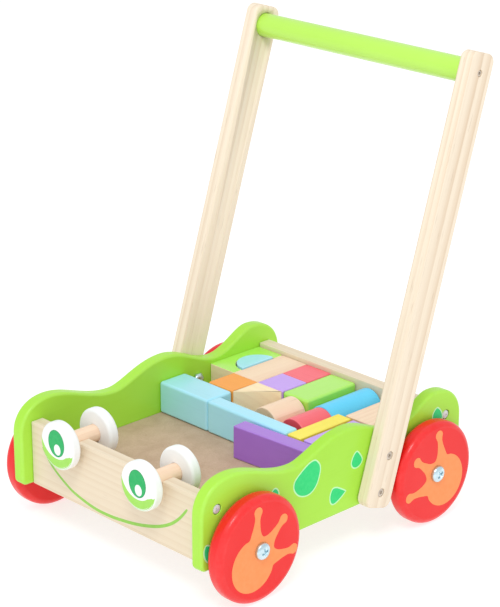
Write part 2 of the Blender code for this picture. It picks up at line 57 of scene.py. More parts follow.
# ---- sizes (metres) that the frame doesn't state ----
PANEL_EDGE = 0.003              # rounding of the painted panels
BOARD_EDGE, BOARD_CORNER = 0.0011, 0.0012
HARDBOARD_EDGE = 0.0004
HOLE_EDGE = 0.0004
POST_CORNER = 0.0085
POST_EDGE = 0.0025
BLOCK_EDGE = 0.0011             # rounding of the sharper blocks, and of the thickly painted ones
SOFT_BLOCK_EDGE = 0.0027
SOFT_BLOCKS = ("light_blue_long", "light_blue_plank", "green_long")
WHEEL_EDGE = 0.0064
WHEEL_BORE = 0.0043
EYE_EDGE = 0.0032
AXLE_EDGE, AXLE_GAP = 0.0005, 0.0003
SCREW_SINK = 0.0006             # how deep the panel screws and post bolts lie in their holes
SCREW_HOLE = 0.0049
PRINT_RISE = 0.00004            # how far printed paint stands proud of what it is printed on
PRINT_DEPTH = 0.0004
PRINT_EDGE, PRINT_GAP = 0.00002, 0.0002
PRINT_SINK = 0.00014            # how much deeper an eye disc's face lies, to leave room for its prints
POST_LEAN = radians(17.55)


# ---- frame helpers ----
def linked(name, data):
    """A new object in the scene."""
    obj = bpy.data.objects.new(name, data)
    bpy.context.scene.collection.objects.link(obj)
    return obj


def centre(node):
    low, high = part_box(node)
    return (Vector(low) + Vector(high)) / 2


def size(node):
    low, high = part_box(node)
    return Vector(high) - Vector(low)


def outer_and_inner(node, sign):
    """The x of a node's face away from the walker's middle, and of the one towards it."""
    low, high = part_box(node)
    return (high[0], low[0]) if sign > 0 else (low[0], high[0])


def plane(origin, u, v):
    """The matrix that stands a flat drawing up: its x along u, its y along v, its z along u x v."""
    u, v = Vector(u).normalized(), Vector(v).normalized()
    w = u.cross(v)
    return Matrix(((u.x, v.x, w.x, origin[0]), (u.y, v.y, w.y, origin[1]),
                   (u.z, v.z, w.z, origin[2]), (0, 0, 0, 1)))


def front_plane(origin):
    """A plane facing the front, its x towards the right."""
    return plane(origin, (1, 0, 0), (0, 0, 1))


def level_plane(height):
    return plane((0, 0, height), (1, 0, 0), (0, 1, 0))


def outer_plane(sign, origin):
    """A plane facing away from the walker's middle on that side, its x towards the back on the right."""
    return plane(origin, (0, sign, 0), (0, 0, 1))


# ---- outlines ----
def metres(points):
    return [(x / 1000, y / 1000) for x, y in points]


def arc(middle, radius, start, end, count):
    """Points on an arc, angles in degrees, both ends included."""
    angles = [radians(start + (end - start) * i / count) for i in range(count + 1)]
    return [(middle[0] + radius * cos(a), middle[1] + radius * sin(a)) for a in angles]


def circle(middle, radius, count, clockwise=False):
    points = arc(middle, radius, 0, 360, count)[:-1]
    return points[::-1] if clockwise else points


def ellipse(middle, radii, count):
    return [(middle[0] + radii[0] * x, middle[1] + radii[1] * y) for x, y in circle((0, 0), 1.0, count)]


def moved(point, angle, shift=(0.0, 0.0)):
    """A point turned about the drawing's origin by an angle in radians, then shifted."""
    c, s = cos(angle), sin(angle)
    return (shift[0] + point[0] * c - point[1] * s, shift[1] + point[0] * s + point[1] * c)


def wave(start, end, lean_start, lean_end, count):
    """A swell between two level points; the leans set how far it stays level at each end."""
    along = (start[0], start[0] + lean_start, end[0] - lean_end, end[0])
    up = (start[1], start[1], end[1], end[1])
    points = []
    for i in range(1, count + 1):
        t = i / count
        weights = ((1 - t) ** 3, 3 * t * (1 - t) ** 2, 3 * t * t * (1 - t), t ** 3)
        points.append(tuple(sum(w * v for w, v in zip(weights, row)) for row in (along, up)))
    return points


def quarter(side, top, count):
    """A full, slightly squared quarter round from a point on an upright edge to a level top."""
    power = 2 / 2.2             # below 1 is fuller than a circle
    points = []
    for i in range(count + 1):
        a = pi / 2 * i / count
        y = top[0] + (side[0] - top[0]) * cos(a) ** power
        z = side[1] + (top[1] - side[1]) * sin(a) ** power
        points.append((y, z))
    return points


def filleted(corners, radius, count=4):
    """A polygon, anticlockwise, with each corner rounded; a corner may carry its own radius."""
    points = []
    total = len(corners)
    for i, corner in enumerate(corners):
        here = Vector(corner[:2])
        r = corner[2] if len(corner) > 2 else radius
        back = (Vector(corners[i - 1][:2]) - here).normalized()
        on = (Vector(corners[(i + 1) % total][:2]) - here).normalized()
        half = back.angle(on) / 2
        middle = here + (back + on).normalized() * (r / sin(half))
        start, end = here + back * (r / tan(half)), here + on * (r / tan(half))
        a, b = start - middle, end - middle
        turn = atan2(a.x * b.y - a.y * b.x, a.dot(b))
        points += [moved(a, turn * k / count, middle) for k in range(count + 1)]
    return points


def rectangle(left, low, right, high):
    return [(left, low), (right, low), (right, high), (left, high)]


def flowing(points, count, closed=True):
    """A smooth curve through the points (Catmull-Rom), count steps from each to the next."""
    last = len(points) - 1
    curve = []
    for i in range(last + closed):
        near = [(i + k) % (last + 1) if closed else min(max(i + k, 0), last) for k in (-1, 0, 1, 2)]
        p = [Vector(points[n]) for n in near]
        for k in range(count):
            t = k / count
            q = (2 * p[1] + (p[2] - p[0]) * t + (2 * p[0] - 5 * p[1] + 4 * p[2] - p[3]) * t ** 2
                 + (3 * p[1] - p[0] - 3 * p[2] + p[3]) * t ** 3) / 2
            curve.append((q.x, q.y))
    if not closed:
        curve.append(tuple(points[-1]))
    return curve


def shrunk(points, width):
    """The outline moved inwards by a width."""
    return [(p[0] - n.x * width, p[1] - n.y * width) for p, n in zip(points, outward_normals(points))]


def mirrored(points):
    return [(-x, y) for x, y in reversed(points)]


def outward_normals(points):
    """The unit normal at each point of a closed outline, pointing out of the material."""
    normals = []
    for i in range(len(points)):
        before, after = points[i - 1], points[(i + 1) % len(points)]
        normals.append(Vector((after[1] - before[1], before[0] - after[0])).normalized())
    return normals


# ---- meshes ----
TURNED_SHARP, CARVED_SHARP = radians(40), radians(35)
SHORT_SEGMENT = 0.0016


def finish_mesh(bm, name, normals=None, edge_mask=None):
    """Writes the mesh with smooth shading; normals and the rounded-edge mask are by vertex index, the
    mask 1 on an edge, where paint is drawn paler as worn paint and as a painted highlight.
    """
    bm.normal_update()
    mesh = bpy.data.meshes.new(name)
    bm.to_mesh(mesh)
    bm.free()
    mesh.shade_smooth()
    if normals:
        mesh.normals_split_custom_set_from_vertices([tuple(n) for n in normals])
    attribute = mesh.attributes.new("edge_mask", "FLOAT", "POINT")
    attribute.data.foreach_set("value", edge_mask or [0.0] * len(mesh.vertices))
    return mesh


def rounded_plate(name, loops, thickness, edge, place, steps=4):
    """A flat plate with rounded edges. loops is its outline, anticlockwise, then any holes, clockwise.
    Its middle plane lies on the drawing's plane. edge is one edge radius, or one for each loop."""
    bm = bmesh.new()
    half = thickness / 2
    normals, edge_mask, caps = [], [], ([], [])
    radii = edge if isinstance(edge, tuple) else (edge,) * len(loops)
    for loop, radius in zip(loops, radii):
        sideways = outward_normals(loop)
        rings = []
        for face in (1, -1):
            for k in range(steps + 1)[::face]:
                a = pi / 2 * k / steps
                inset, height = radius * (1 - sin(a)), half - radius * (1 - cos(a))
                ring = []
                for (x, y), n in zip(loop, sideways):
                    ring.append(bm.verts.new((x - n.x * inset, y - n.y * inset, face * height)))
                    normals.append(Vector((n.x * sin(a), n.y * sin(a), face * cos(a))))
                    edge_mask.append(sin(2 * a) if 0 < k < steps else 0.0)
                rings.append(ring)
        count = len(loop)
        for upper, lower in zip(rings, rings[1:]):
            for i in range(count):
                j = (i + 1) % count
                bm.faces.new((upper[i], lower[i], lower[j], upper[j]))
        caps[0].append(rings[0])
        caps[1].append(rings[-1])
    for rings, direction in ((caps[0], 1), (caps[1], -1)):
        edges = [bm.edges.get((ring[i - 1], ring[i])) for ring in rings for i in range(len(ring))]
        made = bmesh.ops.triangle_fill(bm, use_beauty=True, use_dissolve=False, edges=edges,
                                       normal=(0, 0, direction))
        for face in made["geom"]:
            if isinstance(face, bmesh.types.BMFace) and face.normal.z * direction < 0:
                face.normal_flip()
    bm.transform(place)
    turn = place.to_3x3()
    return finish_mesh(bm, name, [(turn @ n).normalized() for n in normals], edge_mask)


def turned(name, profile, steps, place, closed=True):
    """A solid of revolution about the drawing's z: profile is (radius, height) points. A closed profile
    is a ring with a bore, an open one runs from the axis to the axis, top first."""
    bm = bmesh.new()
    rings = []
    for r, z in profile:
        around = circle((0, 0), r, steps) if r else [(0, 0)]
        rings.append([bm.verts.new((x, y, z)) for x, y in around])
    pairs = list(zip(rings, rings[1:]))
    if closed:
        pairs.append((rings[-1], rings[0]))
    for upper, lower in pairs:
        for k in range(steps):
            j = (k + 1) % steps
            if len(upper) == 1:
                bm.faces.new((upper[0], lower[k], lower[j]))
            elif len(lower) == 1:
                bm.faces.new((upper[k], lower[0], upper[j]))
            else:
                bm.faces.new((upper[k], lower[k], lower[j], upper[j]))
    edge_mask = edge_mask_on_profile(profile, closed)
    per_vertex = [w for w, ring in zip(edge_mask, rings) for _ in ring]
    bm.transform(place)
    mesh = finish_mesh(bm, name, None, per_vertex)
    mesh.set_sharp_from_angle(angle=TURNED_SHARP)
    return mesh


def edge_mask_on_profile(profile, closed):
    """1 on a profile's short segments, which are its rounded edges, and 0 on its flats."""
    last = len(profile) - 1
    edge_mask = []
    for i, point in enumerate(profile):
        before = profile[i - 1] if i or closed else point
        after = profile[(i + 1) % len(profile)] if i < last or closed else point
        longest = max(dist(point, before), dist(point, after))
        edge_mask.append(1.0 if 0 < longest < SHORT_SEGMENT else 0.0)
    return edge_mask


def rim(radius, half, edge, count):
    """The outer half profile of a disc, from its top face down to its bottom face."""
    return (arc((radius - edge, half - edge), edge, 90, 0, count)
            + arc((radius - edge, edge - half), edge, 0, -90, count))


def rod(radius, half, edge, count):
    """A solid cylinder's profile, from the axis to the axis."""
    return [(0, half)] + rim(radius, half, edge, count) + [(0, -half)]


def rounded_box(name, dimensions, edge, place, steps=3):
    """A box with all its edges rounded, its middle at the drawing's origin."""
    bm = bmesh.new()
    bmesh.ops.create_cube(bm, size=1.0)
    bmesh.ops.scale(bm, vec=dimensions, verts=bm.verts)
    bmesh.ops.bevel(bm, geom=bm.edges[:], offset=edge, offset_type="OFFSET", segments=steps,
                    profile=0.5, affect="EDGES", clamp_overlap=True)
    half = [d / 2 for d in dimensions]
    normals, edge_mask = [], []
    for v in bm.verts:
        core = Vector([max(edge - h, min(h - edge, c)) for c, h in zip(v.co, half)])
        flat = any(abs(abs(c) - h) < 1e-6 for c, h in zip(v.co, half))
        normals.append((v.co - core).normalized())
        edge_mask.append(0.0 if flat else 1.0)
    bm.transform(place)
    turn = place.to_3x3()
    return finish_mesh(bm, name, [(turn @ n).normalized() for n in normals], edge_mask)


def print_plate(name, loops, place, rise=PRINT_RISE):
    """Printed paint: a very thin plate sunk into the surface, its face a hair above it."""
    down = Matrix.Translation((0, 0, rise - PRINT_DEPTH / 2))
    return rounded_plate(name, loops, PRINT_DEPTH, PRINT_EDGE, place @ down, 1)


def disc(name, radius, thickness, place, sides=48):
    """A flat cylinder about its middle, round the drawing's third axis."""
    bm = bmesh.new()
    bmesh.ops.create_cone(bm, cap_ends=True, segments=sides, radius1=radius, radius2=radius,
                          depth=thickness)
    bm.transform(place)
    return finish_mesh(bm, name)


def carve(mesh, cutter):
    """The mesh with the cutter's shape taken out of it."""
    target, tool = linked("carved", mesh), linked("carver", cutter)
    boolean = target.modifiers.new("carve", "BOOLEAN")
    boolean.operation = "DIFFERENCE"
    boolean.solver = "EXACT"
    boolean.object = tool
    graph = bpy.context.evaluated_depsgraph_get()
    result = bpy.data.meshes.new_from_object(target.evaluated_get(graph))
    result.name = mesh.name
    for obj in (target, tool):
        bpy.data.objects.remove(obj, do_unlink=True)
    result.shade_smooth()
    result.set_sharp_from_angle(angle=CARVED_SHARP)
    return result


# ---- materials ----
def linear(red, green, blue):
    """A colour given as 0-255 sRGB, in the linear values that a shader takes."""
    values = [value / 255 for value in (red, green, blue)]
    return (*[v / 12.92 if v <= 0.04045 else ((v + 0.055) / 1.055) ** 2.4 for v in values], 1.0)


def blended(a, b, share):
    return tuple(x + (y - x) * share for x, y in zip(a, b))


def darker(colour, share):
    return blended(colour, (0, 0, 0, 1), share)


def paler(colour, share):
    return blended(colour, (1, 1, 1, 1), share)


class Shader:
    """A material's node tree, with one call for each node and its wires."""

    def __init__(self, name):
        self.material = bpy.data.materials.new(name)
        self.material.use_nodes = True
        self.tree = self.material.node_tree
        self.surface = self.tree.nodes["Principled BSDF"]

    def node(self, kind, inputs=None, **settings):
        made = self.tree.nodes.new("ShaderNode" + kind)
        for key, value in settings.items():
            setattr(made, key, value)
        self.wire(made, inputs or {})
        return made

    def wire(self, node, inputs):
        for key, value in inputs.items():
            socket = node.inputs[key]
            if isinstance(value, bpy.types.NodeSocket):
                self.tree.links.new(value, socket)
            else:
                socket.default_value = value

    def set(self, **inputs):
        names = {"color": "Base Color", "roughness": "Roughness", "metallic": "Metallic",
                 "normal": "Normal", "coat": "Coat Weight", "coat_roughness": "Coat Roughness",
                 "specular": "Specular IOR Level",
                 "glow_colour": "Emission Color", "glow": "Emission Strength"}
        self.wire(self.surface, {names[key]: value for key, value in inputs.items()})

    def along(self, axis, turn, stretch):
        """Object coordinates turned about X, then squeezed along the grain's axis."""
        coords = self.node("TexCoord").outputs["Object"]
        turned_round = self.node("VectorRotate", {"Vector": coords, "Angle": turn},
                                 rotation_type="X_AXIS").outputs["Vector"]
        scale = [1.0, 1.0, 1.0]
        scale["xyz".index(axis)] = stretch
        return self.node("VectorMath", {0: turned_round, 1: scale}, operation="MULTIPLY").outputs[0]

    def noise(self, vector, scale, detail=3.0, roughness=0.5, distortion=0.0):
        return self.node("TexNoise", {"Vector": vector, "Scale": scale, "Detail": detail,
                                      "Roughness": roughness, "Distortion": distortion}).outputs["Fac"]

    def ramp(self, value, low, high, out_low=0.0, out_high=1.0):
        return self.node("MapRange", {"Value": value, "From Min": low, "From Max": high,
                                      "To Min": out_low, "To Max": out_high}).outputs["Result"]

    def mix(self, share, a, b, kind="MIX"):
        made = self.node("Mix", data_type="RGBA", blend_type=kind)
        self.wire(made, {0: share, 6: a, 7: b})
        return made.outputs[2]

    def math(self, operation, a, b=0.0):
        return self.node("Math", {0: a, 1: b}, operation=operation).outputs[0]

    def bump(self, height, distance):
        return self.node("Bump", {"Height": height, "Distance": distance, "Strength": 1.0}).outputs[0]

    # the rounded-edge mask, which paints edges paler: worn paint and a painted highlight
    def edge_mask(self):
        return self.node("Attribute", attribute_name="edge_mask", attribute_type="GEOMETRY").outputs["Fac"]


def bare_wood(name, light, dark, axis, turn=0.0, ring_gap=0.006, contrast=1.0, pink=None):
    """Sanded, clear-coated timber: growth rings, fine fibres and a few pores along the grain."""
    s = Shader(name)
    grain = s.along(axis, turn, 0.05)
    off_centre = s.node("VectorMath", {0: grain, 1: (0.043, 0.061, 0.037)}, operation="ADD").outputs[0]
    rings = s.node("TexWave", {"Vector": off_centre, "Scale": 0.314 / ring_gap, "Distortion": 3.2,
                               "Detail": 2.0, "Detail Scale": 0.35, "Detail Roughness": 0.55},
                   wave_type="RINGS", rings_direction=axis.upper(), wave_profile="SAW").outputs["Fac"]
    late_wood = s.node("ValToRGB", {"Fac": rings})
    ramp = late_wood.color_ramp
    ramp.elements[0].position = 0.30
    ramp.elements[0].color = (0, 0, 0, 1)
    ramp.elements[1].position = 0.93
    ramp.elements[1].color = (1, 1, 1, 1)
    end = ramp.elements.new(1.0)
    end.color = (0.15, 0.15, 0.15, 1)
    patches = s.ramp(s.noise(grain, 22.0, 3.0), 0.35, 0.7)
    fibres = s.noise(s.along(axis, turn, 0.02), 900.0, 3.0, 0.65)
    pores = s.ramp(s.noise(s.along(axis, turn, 0.06), 620.0, 2.0), 0.66, 0.74)
    ring_share = s.math("MULTIPLY", late_wood.outputs["Color"], patches)
    ring_share = s.math("MULTIPLY", ring_share, 0.85 * contrast)
    tone = s.mix(ring_share, light, dark)
    tone = s.mix(s.ramp(fibres, 0.3, 0.75, 0.0, 0.22 * contrast), tone, dark)
    tone = s.mix(s.math("MULTIPLY", pores, 0.35 * contrast), tone, darker(dark, 0.35))
    if pink:
        tone = s.mix(s.ramp(s.noise(grain, 9.0, 2.0), 0.4, 0.7, 0.0, 0.6), tone, pink)
    height = s.math("SUBTRACT", s.math("MULTIPLY", fibres, 0.6), pores)
    roughness = s.ramp(fibres, 0.3, 0.7, 0.46, 0.60)
    s.set(color=tone, roughness=roughness, normal=s.bump(height, 0.00006), specular=0.35)
    return s.material


def painted(name, colour, axis, turn=0.0, gloss=0.38, wear_and_highlight=0.22, show_grain=1.0, coat=0.25, film=0.22):
    """Brushed and sanded wood paint: a little grain shows through, and it is drawn paler on its rounded
    edges, partly as worn paint and partly as a painted highlight.
    gloss and film are the roughness of the paint and of its clear coat."""
    s = Shader(name)
    grain = s.along(axis, turn, 0.05)
    fibres = s.noise(grain, 420.0, 3.0, 0.6)
    clouds = s.noise(s.along(axis, turn, 0.5), 14.0, 3.0)
    deep, pale = darker(colour, 0.12), paler(colour, 0.04)
    tone = s.mix(s.ramp(clouds, 0.35, 0.65), blended(colour, deep, 0.45), blended(colour, pale, 0.45))
    tone = s.mix(s.ramp(fibres, 0.55, 0.8, 0.0, 0.30 * show_grain), tone, deep)
    edge_patches = s.ramp(s.noise(s.along(axis, turn, 1.0), 160.0, 4.0, 0.7), 0.35, 0.75, 0.35, 1.0)
    # rounded edges drawn paler in patches: worn paint and a painted highlight
    wear_and_highlight_on_edges = s.math("MULTIPLY", s.math("MULTIPLY", s.edge_mask(), edge_patches), wear_and_highlight)
    tone = s.mix(wear_and_highlight_on_edges, tone, paler(colour, 0.25))
    peel = s.noise(s.along(axis, turn, 1.0), 480.0, 2.0)
    height = s.math("ADD", s.math("MULTIPLY", fibres, show_grain), s.math("MULTIPLY", peel, 0.35))
    roughness = s.ramp(s.math("ADD", fibres, clouds), 0.7, 1.3, gloss - 0.05, gloss + 0.08)
    s.set(color=tone, roughness=roughness, normal=s.bump(height, 0.000035), specular=0.2,
          coat=coat, coat_roughness=film)
    return s.material


def printed(name, colour, gloss=0.36):
    """Screen-printed ink: even colour with a faint mottle and the paint's own fine texture."""
    s = Shader(name)
    coords = s.along("x", 0.0, 1.0)
    mottle = s.noise(coords, 240.0, 3.0, 0.6)
    tone = s.mix(s.ramp(mottle, 0.35, 0.7), darker(colour, 0.05), paler(colour, 0.02))
    s.set(color=tone, roughness=s.ramp(mottle, 0.3, 0.7, gloss, gloss + 0.1),
          normal=s.bump(s.noise(coords, 600.0, 2.0), 0.00002), specular=0.2)
    return s.material


def hardboard(name, light, dark):
    """Smooth brown hardboard: pressed fibres in every direction, with darker flecks."""
    s = Shader(name)
    coords = s.along("x", 0.0, 1.0)
    mats = s.noise(coords, 45.0, 5.0, 0.65, 0.4)
    fibres = s.noise(coords, 700.0, 4.0, 0.7, 1.2)
    flecks = s.ramp(s.noise(coords, 1300.0, 2.0, 0.5), 0.66, 0.78)
    tone = s.mix(s.ramp(mats, 0.35, 0.68), light, blended(light, dark, 0.45))
    tone = s.mix(s.ramp(fibres, 0.45, 0.75, 0.0, 0.45), tone, dark)
    tone = s.mix(s.math("MULTIPLY", flecks, 0.5), tone, darker(dark, 0.4))
    s.set(color=tone, roughness=s.ramp(fibres, 0.3, 0.7, 0.62, 0.8),
          normal=s.bump(fibres, 0.00008), specular=0.3)
    return s.material


def zinc(name, colour, rough=0.22, metal=1.0):
    """Zinc plate: a soft mottle with fine scratches."""
    s = Shader(name)
    coords = s.along("x", 0.0, 1.0)
    mottle = s.noise(coords, 260.0, 4.0, 0.6)
    scratches = s.noise(s.along("z", 0.6, 0.03), 3200.0, 2.0)
    tone = s.mix(s.ramp(mottle, 0.35, 0.7), colour, darker(colour, 0.18))
    s.set(color=tone, metallic=metal, roughness=s.ramp(mottle, 0.3, 0.7, rough, rough + 0.18),
          normal=s.bump(scratches, 0.00001))
    return s.material


# the bar's green is the panels' green paint drawn lighter: painted light for the bar's open place at the
# top
GREEN, BAR_GREEN_PAINTED_LIGHT = linear(172, 231, 62), linear(186, 238, 84)
RED = linear(240, 10, 10)
PINE_LIGHT, PINE_DARK = linear(245, 229, 206), linear(216, 187, 155)
BOARD_LIGHT, BOARD_DARK = linear(235, 218, 192), linear(206, 176, 138)
BEECH_LIGHT, BEECH_DARK = linear(250, 224, 196), linear(224, 182, 146)
BLOCK_COLOURS = {
    "light_blue_paint": linear(172, 236, 255),
    "bright_blue_paint": linear(100, 214, 255),
    "purple_paint": linear(167, 107, 217),
    "lilac_paint": linear(202, 157, 247),
    "coral_paint": linear(250, 108, 120),
    "orange_paint": linear(255, 166, 66),
    "yellow_paint": linear(255, 236, 84),
    "green_block_paint": linear(178, 243, 88),
}
GLOSSY = ("light_blue_paint", "purple_paint", "green_block_paint", "lilac_paint")
# darker, browner zinc for the bolts sunk in the posts: painted shade of their holes
DULL_ZINC_PAINTED_SHADE = zinc("dull_zinc_painted_shade", linear(218, 207, 194), 0.5, 0.75)
SOFT_ZINC = zinc("soft_zinc", linear(226, 228, 226), 0.5, 0.45)
# plain, low-contrast bare wood drawn paler: painted light that lifts the shaded sides of the arch; the
# triangle shares it
PLAIN_WOOD_PAINTED_LIGHT = bare_wood("plain_wood_painted_light", linear(255, 233, 192), BEECH_DARK, "x", 0.0, 0.007, 0.4)
END_GRAIN = bare_wood("end_grain", linear(234, 200, 164), linear(204, 162, 120), "y", 0.0, 0.004, 0.8)
# a darker coral for the red cylinder's ends: painted shade, for the shadow they lie in
CORAL_END_SHADE = painted("coral_end_painted_shade", linear(234, 70, 84), "y", 0.0, 0.45, 0.1, 1.2, 0.3)
GLOSSY_COAT, PLAIN_COAT = 1.0, 0.3
# by slot, or by slot and the grain's axis: the kind of finish, its colours and its settings
FINISHES = {
    "pine": (bare_wood, (PINE_LIGHT, PINE_DARK), dict(ring_gap=0.0055, contrast=0.85)),
    "pine_x": (bare_wood, (BOARD_LIGHT, BOARD_DARK), dict(ring_gap=0.0052, contrast=0.42)),
    "bare_wood": (bare_wood, (BEECH_LIGHT, BEECH_DARK),
                  dict(ring_gap=0.0045, contrast=1.15, pink=linear(250, 214, 188))),
    "green_paint": (painted, (GREEN,), dict(gloss=0.36)),
    # the bar: the same green paint, drawn lighter as painted light
    "green_paint_x": (painted, (BAR_GREEN_PAINTED_LIGHT,), dict(gloss=0.32, wear_and_highlight=0.1, show_grain=0.6, coat=0.8)),
    "red_paint": (painted, (RED,),
                  dict(gloss=0.34, wear_and_highlight=0.12, show_grain=0.3, coat=0.35, film=0.16)),
    "white_paint": (painted, (linear(248, 248, 247),), dict(gloss=0.40, wear_and_highlight=0.0, show_grain=0.5)),
    "hardboard": (hardboard, (linear(208, 179, 153), linear(170, 138, 110)), {}),
    "zinc": (zinc, (linear(214, 236, 244),), {}),
}
for block_slot, block_colour in BLOCK_COLOURS.items():
    block_coat = GLOSSY_COAT if block_slot in GLOSSY else PLAIN_COAT
    FINISHES[block_slot] = (painted, (block_colour,),
                            dict(gloss=0.42, wear_and_highlight=0.20, show_grain=1.2, coat=block_coat))
MADE = {}


def finish_of(slot, axis="x", turn=0.0):
    """The material of a record slot with its grain along an axis, made once for each."""
    key = "%s_%s_%d" % (slot, axis, round(degrees(turn)))
    if key not in MADE:
        kind, colours, settings = FINISHES.get(slot + "_" + axis) or FINISHES[slot]
        grain = (axis, turn) if kind in (bare_wood, painted) else ()
        MADE[key] = kind(key, *colours, *grain, **settings)
    return MADE[key]


# ---- placing pieces ----
def add_piece(name, mesh, material, body, weighted=False):
    obj = linked(name, mesh)
    mesh.materials.clear()
    mesh.materials.append(material)
    if weighted:
        modifier = obj.modifiers.new("even_shading", "WEIGHTED_NORMAL")
        modifier.keep_sharp = True
    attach(obj, body)
    return obj


def stand_for(node, mesh, axis="x", turn=0.0, weighted=False, material=None):
    """A finer piece in place of a CAD node, on the same body and in the same slot's finish."""
    slot = SLOT_OF[node]
    material = material or finish_of(slot, axis, turn)
    obj = add_piece("fine_" + node, mesh, material, BODY_OF[node], weighted)
    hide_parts(node)
    return obj


def add_prints(layers, face, name, body):
    """Prints on one face, each a hair above the one before; name has room for each one's label."""
    for level, (label, outline, ink) in enumerate(layers, 1):
        add_piece(name % label, print_plate(label, [outline], face, level * PRINT_RISE), ink, body)


# ---- side panels ----
PANEL_LOW, PANEL_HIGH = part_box("side_panel_right")
PANEL_FRONT = PANEL_LOW[1]
PANEL_FACE = PANEL_HIGH[0]
PANEL_THICK = PANEL_HIGH[0] - PANEL_LOW[0]
PANEL_LENGTH = PANEL_HIGH[1] - PANEL_LOW[1]
PANEL_BOTTOM = PANEL_LOW[2]
LEAF = printed("leaf_print", linear(46, 218, 124))
LEAF_RING = printed("leaf_ring_print", linear(196, 250, 190))


def panel_outline():
    """Side view of a panel, y from its front edge: three swells on top, round front and back."""
    front_peak, valley_1, peak_2 = (0.0360, 0.1208), (0.1140, 0.1029), (0.1810, 0.1198)
    valley_2, rear_peak = (0.2450, 0.1018), (0.2970, 0.1213)
    corner, front_rise, rear_fall = 0.006, 0.0880, 0.0885
    points = arc((corner, PANEL_BOTTOM + corner), corner, 270, 180, 8)
    points += quarter((0.0, front_rise), front_peak, 22)
    points += wave(front_peak, valley_1, 0.026, 0.029, 20)
    points += wave(valley_1, peak_2, 0.018, 0.031, 18)
    points += wave(peak_2, valley_2, 0.024, 0.021, 18)
    points += wave(valley_2, rear_peak, 0.021, 0.015, 16)
    points += quarter((PANEL_LENGTH, rear_fall), rear_peak, 22)[::-1][1:]
    points += arc((PANEL_LENGTH - corner, PANEL_BOTTOM + corner), corner, 0, -90, 8)
    return points[::-1]


# the printed drops' outlines in millimetres: distance from the panel's front edge, and height
DROPS = (
    ((144.7, 93.3), (142.5, 98.9), (137.2, 103.3), (129.5, 102.4), (120.0, 97.2), (111.9, 90.8),
     (109.9, 84.5), (112.3, 78.3), (118.0, 73.1), (126.2, 70.8), (134.0, 72.4), (140.2, 78.1),
     (143.6, 86.2)),
    ((199.1, 84.6), (195.4, 91.4), (191.4, 95.0), (187.7, 93.3), (184.5, 88.8), (183.3, 83.8),
     (185.6, 79.4), (190.6, 77.6), (196.2, 79.4)),
    ((177.4, 60.4), (169.5, 65.6), (164.7, 67.8), (160.2, 68.0), (157.3, 64.5), (156.0, 59.5),
     (156.9, 54.0), (160.4, 51.0), (165.6, 51.7), (171.8, 54.9), (176.5, 58.2)),
    ((92.9, 84.9), (91.4, 89.3), (88.2, 91.8), (84.5, 90.8), (81.0, 85.5), (79.0, 78.5),
     (81.5, 73.5), (87.5, 74.0), (91.5, 79.0)),
    ((18.0, 49.3), (16.8, 56.0), (11.0, 62.8), (5.2, 65.0), (2.4, 60.3), (2.7, 53.8), (5.8, 48.3),
     (12.5, 45.3)),
    ((308.3, 94.0), (306.6, 99.8), (301.3, 105.3), (297.0, 104.4), (293.6, 100.0), (293.2, 94.0),
     (296.0, 88.5), (302.0, 87.0), (306.8, 89.5)))
LEAF_RING_WIDTH = 0.0013


def side_panels():
    outline = panel_outline()
    screws = [centre("panel_screw_%s_right" % end) for end in ENDS]
    holes = [circle((at.y - PANEL_FRONT, at.z), SCREW_HOLE, 28, clockwise=True) for at in screws]
    for side, sign in SIDES:
        place = outer_plane(sign, (sign * (PANEL_FACE - PANEL_THICK / 2), PANEL_FRONT, 0))
        loops = [facing(loop, sign) for loop in [outline] + holes]
        mesh = rounded_plate("side_panel", loops, PANEL_THICK, (PANEL_EDGE, HOLE_EDGE, HOLE_EDGE), place)
        stand_for("side_panel_" + side, mesh, "y")
        face = outer_plane(sign, (sign * PANEL_FACE, PANEL_FRONT, 0))
        for i, drop in enumerate(DROPS, 1):
            ring = flowing(metres(drop), 5)
            leaf = shrunk(ring, LEAF_RING_WIDTH)
            layers = (("ring", facing(ring, sign), LEAF_RING), ("leaf", facing(leaf, sign), LEAF))
            add_prints(layers, face, "print_%s_{}_{}".format(i, side), "frame")


def facing(outline, sign):
    """An outline drawn for the right side, as it lies on that side's outer plane."""
    return outline if sign > 0 else mirrored(outline)


# ---- boards and floor ----
EYE_AXIS = {side: centre("eye_front_disc_" + side) for side, _ in SIDES}
NOTCH_RADIUS = size("eye_axle_right").x / 2 + AXLE_GAP
NOTCH_LIP = 0.0012
SMILE_PRINT = printed("smile_print", linear(150, 208, 86))
# the smile's middle line in millimetres, x and z
SMILE = ((-99.0, 81.2), (-85.5, 66.3), (-62.4, 52.7), (-43.1, 46.9), (-23.9, 43.9), (-4.8, 43.8),
         (14.0, 45.6), (32.6, 48.6), (51.0, 53.3), (65.5, 58.6), (78.2, 65.6), (88.9, 74.6),
         (98.3, 85.7))
SMILE_WIDTH = 0.0031


def board_outline(name):
    """A board's outline from the front; the front one has two U-shaped notches in its top edge."""
    low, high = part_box(name)
    board = filleted(rectangle(low[0], low[2], high[0], high[2]), BOARD_CORNER, 3)
    if name == "rear_board":
        return board
    r, lip = NOTCH_RADIUS, NOTCH_LIP
    top = []
    for side, _ in SIDES:
        x, z = EYE_AXIS[side].xz
        top += arc((x + r + lip, high[2] - lip), lip, 90, 180, 4)
        top += arc((x, z), r, 0, -180, 20)
        top += arc((x - r - lip, high[2] - lip), lip, 0, 90, 4)
    top_left = 3 * len(board) // 4
    return board[:top_left] + top + board[top_left:]


